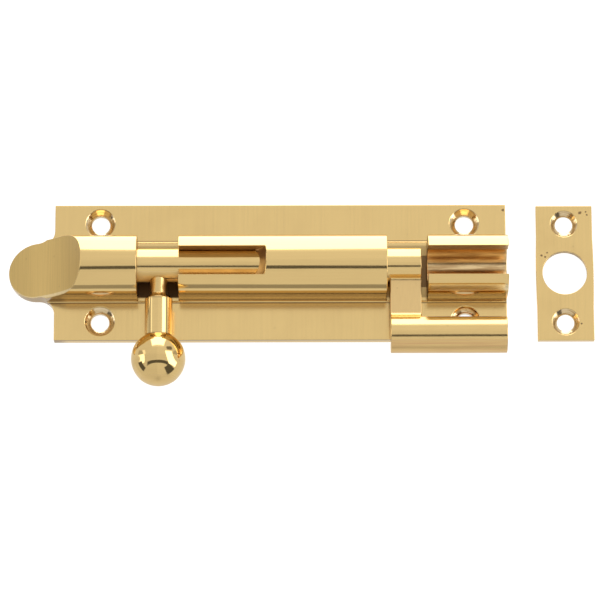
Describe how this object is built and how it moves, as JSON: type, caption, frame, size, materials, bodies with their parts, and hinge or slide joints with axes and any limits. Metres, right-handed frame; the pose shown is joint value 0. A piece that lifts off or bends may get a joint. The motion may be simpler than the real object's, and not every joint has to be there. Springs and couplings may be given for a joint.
{
  "type": "necked barrel bolt",
  "caption": "Surface barrel bolt for a door: back plate with slotted barrel, cranked sliding bolt turned by a ball knob, and a separate flat strike plate.",
  "frame": {"origin": "centre of the back plate's mounting face", "axes": "+X along the bolt, the way it shoots; +Z away from the door; -Y the side that the knob and the neck point to when the bolt is drawn"},
  "size_m": [0.1317, 0.0435, 0.0149],
  "materials": {
    "drawn_brass": "polished drawn section, fine brushing across the plate",
    "polished_brass": "bright polished rod",
    "turned_brass": "turned and polished",
    "sheet_brass": "punched sheet with a brushed face"
  },
  "bodies": {
    "plate": {"barrel_plate": "drawn_brass"},
    "bolt": {"necked_bolt": "polished_brass", "ball_knob": "turned_brass"},
    "strike": {"strike_plate": "sheet_brass"}
  },
  "joints": [
    {"name": "bolt_turn", "type": "hinge", "parent": "plate", "child": "bolt", "pos_m": [0, 0, 0.0081], "axis": [-1, 0, 0], "range_deg": [-4, 184]},
    {"name": "strike_lift", "type": "slide", "parent": "plate", "child": "strike", "axis": [0, 0, 1], "range_m": [0, 0.03]}
  ]
}
